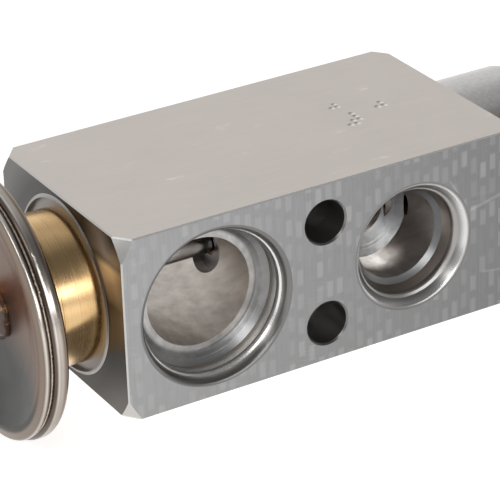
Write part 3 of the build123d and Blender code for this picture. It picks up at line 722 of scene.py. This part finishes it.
def braze_mound():
    """Lumpy mound on the cover: its edge and height vary with the angle round the tube, and
    a quarter of a wave takes it from the edge in to the tube, and up."""
    around = np.linspace(0, 2 * np.pi, BRAZE_STEPS, endpoint=False)
    rise = np.linspace(0, 1, BRAZE_ROWS)
    a, t = np.meshgrid(around, rise, indexing="ij")
    edge = BRAZE_R + 0.28 * waves(a, 21, 7) + 0.10 * waves(a, 22, 20)
    top = BRAZE_HEIGHT + 0.30 * waves(a, 23, 6) - 0.25 * np.sin(a)
    inner_y, inner_z = BRAZE_INNER_R * np.cos(a), BRAZE_INNER_R * np.sin(a)
    outer_y, outer_z = edge * np.cos(a), edge * np.sin(a) - BRAZE_DROP
    inward = 1 - np.cos(t * np.pi / 2)
    lumps = 0.10 * waves(a, 24, 16) * np.sin(np.pi * t)
    y = outer_y + (inner_y - outer_y) * inward + lumps * np.cos(a)
    z = outer_z + (inner_z - outer_z) * inward + lumps * np.sin(a)
    x = BRAZE_X - top * np.sin(t * np.pi / 2) - lumps
    points = np.stack([x, AXIS_Y + y, z], -1)
    base = np.stack([np.full_like(around, BRAZE_X), AXIS_Y + inner_y[:, 0], inner_z[:, 0]], -1)
    points = np.concatenate([points, base[:, None, :]], 1)
    return points.reshape(-1, 3), grid_faces(BRAZE_STEPS, BRAZE_ROWS + 1).tolist()


filler, filler_shader, place = new_finish("brass_filler", 1.0, Coat_Roughness=0.12)
lump = grain(place, 0.6)
speck = grain(place, 2.2)
flux = (lump * 0.7 + speck * 0.3).above(0.42, 0.10)
colour = flux.blend(BRAZE_BRASS, FLUX_BROWN)
wicked = split(place)[2].above(2.6, 1.4)
wicked.blend(colour, BRAZE_COPPERY).feed(filler_shader, "Base Color")
flux = flux * (1 - wicked)
(0.22 + speck * 0.25).feed(filler_shader, "Roughness")
(1 - flux * 0.7).feed(filler_shader, "Metallic")
(flux * 0.8).feed(filler_shader, "Coat Weight")
relief(lump * 0.8 + speck * 0.2, 0.35).feed(filler_shader, "Normal")
dress("tube_end_seal", filler)
dress("tube_braze_collar", filler)
mound = mesh_piece("braze_mound", *braze_mound(), "valve_body", "braze", filler)
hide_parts("tube_braze_collar")

# Push rod, ball and seat
# Ground and hardened stainless, smooth enough to mirror what is round it. The seat is
# pressed into the block, and the ball is held in its carrier.

STEEL_GROUND = (0.42, 0.41, 0.40, 1.0)
STEEL_HAZED = (0.30, 0.29, 0.28, 1.0)

ground_steel, ground_shader, place = new_finish("ground_steel", 1.0)
x = split(place)[0]
ground_line = rings(x, 9.0, 2.0)
haze = grain(place, 0.6)
haze.blend(STEEL_GROUND, STEEL_HAZED).feed(ground_shader, "Base Color")
(0.14 + haze * 0.10 + ground_line * 0.05).feed(ground_shader, "Roughness")
relief(ground_line, 0.004).feed(ground_shader, "Normal")
for name in ("push_rod", "valve_ball", "seat_insert"):
    dress(name, ground_steel)

# Springs and lock washer
# Drawn spring wire and thin spring sheet, left dark from heat treatment. The coil spring sits
# between the ball's carrier and the adjusting screw, and shortens as the valve opens.

SPRING_TURNS = 4.5
SPRING_MEAN_R = 4.5
WIRE_R = 0.63
COIL_STEPS = 433
WIRE_SECTION_STEPS = 16

SPRING_DARK = (0.30, 0.29, 0.285, 1.0)
SPRING_OILED = (0.20, 0.19, 0.20, 1.0)


def spring_coil(start_x, end_x):
    """Round wire on a helix: point = centre of the wire + radius * (cos s * out + sin s *
    across), where out points away from the axis and across is square to out and the wire."""
    a = np.linspace(0, 2 * np.pi * SPRING_TURNS, COIL_STEPS)
    s = np.linspace(0, 2 * np.pi, WIRE_SECTION_STEPS, endpoint=False)
    rise = (end_x - start_x - 2 * WIRE_R) / a[-1]
    flat = np.zeros_like(a)
    out = np.stack([flat, np.cos(a), np.sin(a)], -1)
    along = np.stack([flat + rise, -SPRING_MEAN_R * np.sin(a), SPRING_MEAN_R * np.cos(a)], -1)
    along /= np.linalg.norm(along, axis=1, keepdims=True)
    across = np.cross(along, out)
    centre = SPRING_MEAN_R * out
    centre += np.stack([start_x + WIRE_R + rise * a, flat + AXIS_Y, flat], -1)
    section = np.cos(s)[None, :, None] * out[:, None] + np.sin(s)[None, :, None] * across[:, None]
    points = centre[:, None] + WIRE_R * section
    quads = grid_faces(COIL_STEPS, WIRE_SECTION_STEPS, closed=False)[:, [0, 3, 2, 1]]
    first_face = np.arange(WIRE_SECTION_STEPS)
    last_face = first_face + (COIL_STEPS - 1) * WIRE_SECTION_STEPS
    faces = quads.tolist() + [first_face[::-1].tolist(), last_face.tolist()]
    return points.reshape(-1, 3), faces


spring_steel, spring_shader, place = new_finish("spring_steel", 1.0)
oil = grain(place, 0.7)
fleck = grain(place, 4.0)
oil.blend(SPRING_DARK, SPRING_OILED).feed(spring_shader, "Base Color")
(0.28 + fleck * 0.16).feed(spring_shader, "Roughness")
relief(fleck, 0.006).feed(spring_shader, "Normal")
for name in ("superheat_spring", "damper_spring", "lock_washer"):
    dress(name, spring_steel)

# the coil runs from the first end of the spring part's box to its last
spring_low, spring_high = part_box("superheat_spring")
start_x, end_x = spring_low[0] * 1000.0, spring_high[0] * 1000.0
coil = mesh_piece("spring_coil", *spring_coil(start_x, end_x), None, "spring_steel", spring_steel)
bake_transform(coil)
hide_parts("superheat_spring")

# O-rings
# Moulded black rubber with a dull skin and a faint bloom. One seals the rod, one the neck
# and one the adjusting screw.

RUBBER_BLACK = (0.012, 0.012, 0.013, 1.0)
RUBBER_BLOOM = (0.045, 0.044, 0.042, 1.0)

rubber, rubber_shader, place = new_finish("seal_rubber", 0.0, Specular_IOR_Level=0.35)
bloom = grain(place, 1.1)
skin = grain(place, 9.0)
bloom.blend(RUBBER_BLACK, RUBBER_BLOOM).feed(rubber_shader, "Base Color")
(0.45 + skin * 0.2).feed(rubber_shader, "Roughness")
relief(skin, 0.01).feed(rubber_shader, "Normal")
for name in ("rod_seal", "neck_seal", "adjuster_seal"):
    dress(name, rubber)

# Floor, lamps and camera
# A plain white floor below the power head's rim, soft lamps round the object, and the
# camera at the photograph's viewing angle.

FLOOR_Z = -0.0197
FLOOR_HALF_SIZE = 3.0
FLOOR_GREY = (0.62, 0.62, 0.62, 1.0)
FLOOR_SEEN = 0.77
WHITE = (1.0, 1.0, 1.0, 1.0)
OBJECT_CENTRE = Vector((0.0, 0.018, 0.0))
LAMP_DISTANCE = 0.9
LENS_MM = 200.86
SENSOR_MM = 36.0
CAMERA_PLACE = Vector((-0.18375, -0.29676, 0.18190))
CAMERA_RIGHT = Vector((0.85790, -0.51295, -0.02977))
CAMERA_UP = Vector((0.25589, 0.37629, 0.89047))

floor_mesh = bpy.data.meshes.new("floor")
corners = [(-1, -1), (1, -1), (1, 1), (-1, 1)]
points = [(FLOOR_HALF_SIZE * a, FLOOR_HALF_SIZE * b, FLOOR_Z) for a, b in corners]
floor_mesh.from_pydata(points, [], [(0, 1, 2, 3)])
floor = bpy.data.objects.new("floor", floor_mesh)
bpy.context.scene.collection.objects.link(floor)
white, white_shader, place = new_finish(
    "white_floor",
    0.0,
    Roughness=0.9,
    Base_Color=FLOOR_GREY,
    Specular_IOR_Level=0.0,
    Emission_Color=WHITE,
)
ray = place.node("ShaderNodeLightPath", None, None, out="Is Camera Ray")
seen = ray.math("MAXIMUM", ray, ray.also("Is Glossy Ray"))
seen = seen.math("MAXIMUM", seen, ray.also("Is Transmission Ray"))
(seen * FLOOR_SEEN).feed(white_shader, "Emission Strength")
floor_mesh.materials.append(white)


def softbox(name, azimuth, elevation, size_m, radiance):
    """A soft oblong lamp that faces the object, at an azimuth from +Y towards +X and an
    elevation. Its watts are radiance * pi * area."""
    light = bpy.data.lights.new(name, "AREA")
    light.shape = "RECTANGLE"
    light.size, light.size_y = size_m
    light.energy = radiance * math.pi * size_m[0] * size_m[1]
    a, e = math.radians(azimuth), math.radians(elevation)
    towards = Vector((math.sin(a) * math.cos(e), math.cos(a) * math.cos(e), math.sin(e)))
    holder = bpy.data.objects.new(name, light)
    bpy.context.scene.collection.objects.link(holder)
    holder.location = LAMP_DISTANCE * towards
    facing = OBJECT_CENTRE - LAMP_DISTANCE * towards
    holder.rotation_euler = facing.to_track_quat("-Z", "Y").to_euler()


softbox("softbox_front", 183, 20, (1.02, 0.24), 3.3)
softbox("softbox_left", 268, 37, (0.44, 0.34), 2.6)
softbox("softbox_by_camera", 214, 36, (0.40, 0.30), 2.6)

# the room that the metal mirrors: grey, paler behind the object and darker overhead in front
world = bpy.data.worlds.new("studio")
bpy.context.scene.world = world
world.use_nodes = True
sky = world.node_tree.nodes["Background"]
direction = world.node_tree.nodes.new("ShaderNodeTexCoord")
towards = Channel(world.node_tree, direction.outputs["Generated"])
towards_y, towards_z = split(towards)[1:]
back_wall = (towards_y - towards_z * 0.8).above(0.12, 0.45)
dim_ceiling = towards_y.below(0.0, 0.5) * towards_z.above(0.35, 0.5)
level = 0.50 + back_wall * 0.36 - dim_ceiling * 0.38
shade = level.node("ShaderNodeCombineColor", None, {0: level, 1: level, 2: level})
world.node_tree.links.new(shade.socket, sky.inputs["Color"])
sky.inputs["Strength"].default_value = 1.0

camera = bpy.data.cameras.new("camera")
camera.lens = LENS_MM
camera.sensor_width = SENSOR_MM
camera.clip_start = 0.01
viewer = bpy.data.objects.new("camera", camera)
bpy.context.scene.collection.objects.link(viewer)
back = CAMERA_RIGHT.cross(CAMERA_UP)
turn = Matrix((CAMERA_RIGHT, CAMERA_UP, back)).transposed().to_4x4()
viewer.matrix_world = Matrix.Translation(CAMERA_PLACE) @ turn
bpy.context.scene.camera = viewer
bpy.context.scene.view_settings.view_transform = "Standard"
